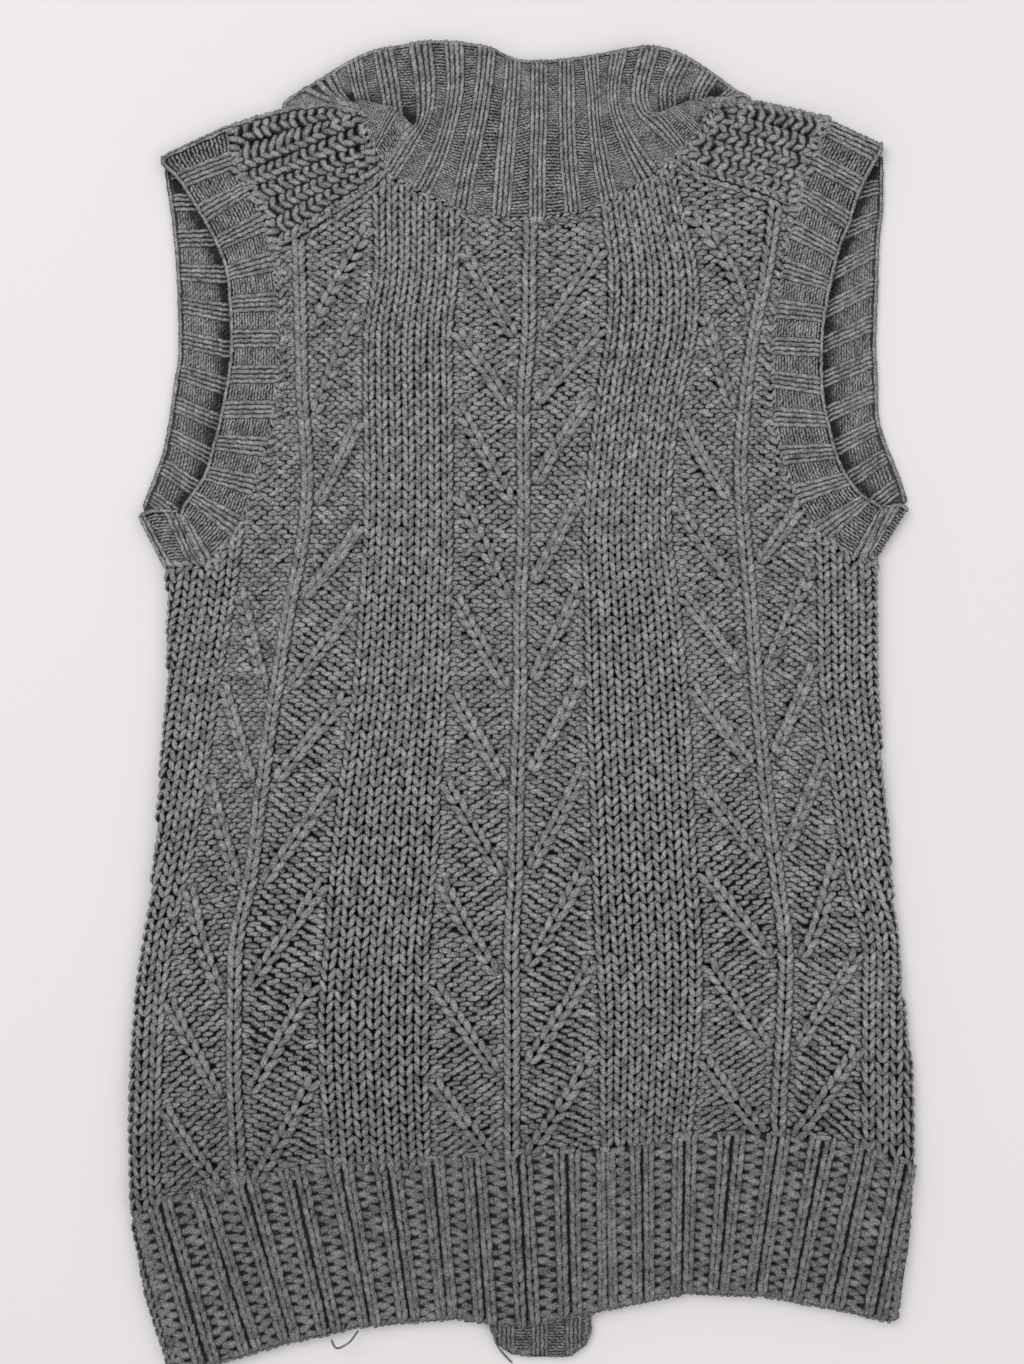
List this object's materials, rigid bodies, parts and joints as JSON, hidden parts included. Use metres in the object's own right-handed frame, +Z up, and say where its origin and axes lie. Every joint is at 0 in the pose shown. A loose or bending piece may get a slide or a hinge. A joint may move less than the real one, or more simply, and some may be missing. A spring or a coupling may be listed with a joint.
{
  "type": "sleeveless knitted vest",
  "caption": "Sleeveless chunky cable-knit vest with a tall ribbed turtleneck, ribbed armhole bands and a ribbed hem, lying flat face down.",
  "frame": {"origin": "centre of the bounding box at its base, on the surface the vest lies on", "axes": "+X to the right as it lies back up, +Y from the hem to the collar, +Z up out of the surface"},
  "size_m": [0.458, 0.776, 0.018],
  "materials": {
    "chunky_yarn": "matte, heathered, slightly hairy wool-mix yarn",
    "rib_yarn": "matte finer rib of the same yarn"
  },
  "bodies": {
    "root": {"back_panel": "chunky_yarn", "front_left": "chunky_yarn", "front_right": "chunky_yarn", "shoulder_yoke_left": "chunky_yarn", "shoulder_yoke_right": "chunky_yarn", "armhole_band_left": "rib_yarn", "armhole_band_right": "rib_yarn", "collar": "rib_yarn", "front_band_lower": "rib_yarn", "front_band_upper": "rib_yarn"}
  },
  "joints": []
}
